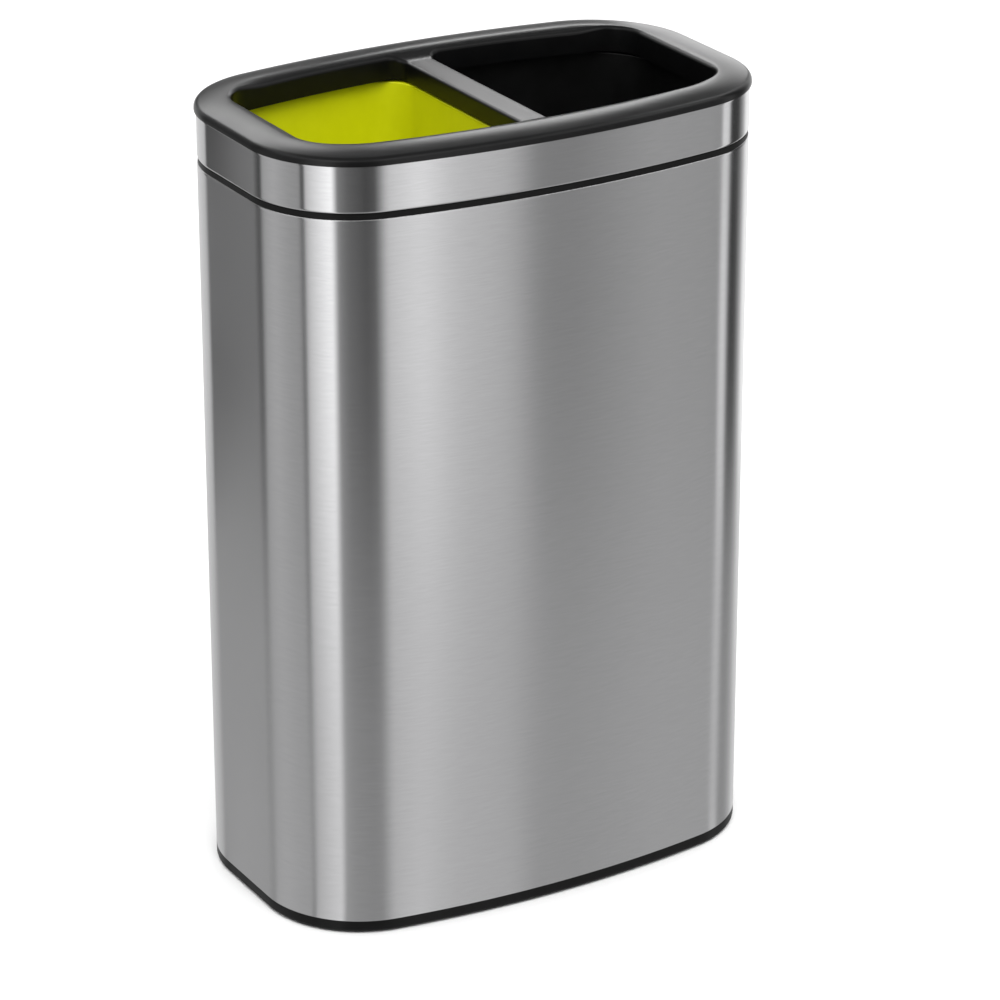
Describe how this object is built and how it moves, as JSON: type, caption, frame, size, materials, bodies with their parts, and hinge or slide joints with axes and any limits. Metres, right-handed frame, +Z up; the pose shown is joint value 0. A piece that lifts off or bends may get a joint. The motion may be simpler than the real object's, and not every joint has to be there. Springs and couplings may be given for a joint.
{
  "type": "double recycling bin",
  "caption": "Slim oval brushed-steel recycling bin with side-by-side lift-out buckets, wire bails and a lift-off open rim with a dividing bar.",
  "frame": {"origin": "bottom centre, on the floor under the middle of the bin", "axes": "+Z up; X along the long sides, with the green bucket on the -X side; -Y is the front"},
  "size_m": [0.404, 0.25, 0.6083],
  "materials": {
    "brushed_steel_shell": "fine horizontal brushing",
    "galvanised_steel": "dull galvanised sheet",
    "screw_steel": "zinc plated",
    "wire_steel": "bright zinc wire",
    "black_plastic": "satin moulded",
    "rim_plastic": "satin gloss moulded",
    "black_bucket_plastic": "satin moulded",
    "green_bucket_plastic": "satin gloss moulded",
    "grip_plastic": "moulded",
    "foot_pad": "moulded rubber"
  },
  "bodies": {
    "bin": {"body_shell": "brushed_steel_shell", "top_collar": "black_plastic", "bottom_panel": "galvanised_steel", "base_ring": "black_plastic", "base_screws": "screw_steel", "foot_pad_front_left": "foot_pad", "foot_pad_front_right": "foot_pad", "foot_pad_rear_left": "foot_pad", "foot_pad_rear_right": "foot_pad"},
    "lid": {"lid_band": "brushed_steel_shell", "lid_liner": "black_plastic", "lid_screws": "screw_steel", "rim_frame": "rim_plastic"},
    "green_pail": {"green_bucket": "green_bucket_plastic"},
    "green_handle": {"green_bail": "wire_steel", "green_grip": "grip_plastic"},
    "black_pail": {"black_bucket": "black_bucket_plastic"},
    "black_handle": {"black_bail": "wire_steel", "black_grip": "grip_plastic"}
  },
  "joints": [
    {"name": "lid_lift", "type": "slide", "parent": "bin", "child": "lid", "axis": [0, 0, 1], "range_m": [0, 1.2]},
    {"name": "green_bucket_lift", "type": "slide", "parent": "bin", "child": "green_pail", "axis": [0, 0, 1], "range_m": [0, 0.6]},
    {"name": "black_bucket_lift", "type": "slide", "parent": "bin", "child": "black_pail", "axis": [0, 0, 1], "range_m": [0, 0.6]},
    {"name": "green_bail_swing", "type": "hinge", "parent": "green_pail", "child": "green_handle", "pos_m": [-0.0933, 0, 0.591], "axis": [0, 1, 0], "range_deg": [0, 90]},
    {"name": "black_bail_swing", "type": "hinge", "parent": "black_pail", "child": "black_handle", "pos_m": [0.0933, 0, 0.591], "axis": [0, -1, 0], "range_deg": [0, 90]}
  ],
  "couplings": [
    {"joint": "green_bucket_lift", "follows": "lid_lift", "ratio": 0.5},
    {"joint": "black_bucket_lift", "follows": "lid_lift", "ratio": 0.5},
    {"joint": "green_bail_swing", "follows": "lid_lift", "rad_per_m": 1.3089},
    {"joint": "black_bail_swing", "follows": "lid_lift", "rad_per_m": 1.3089}
  ]
}
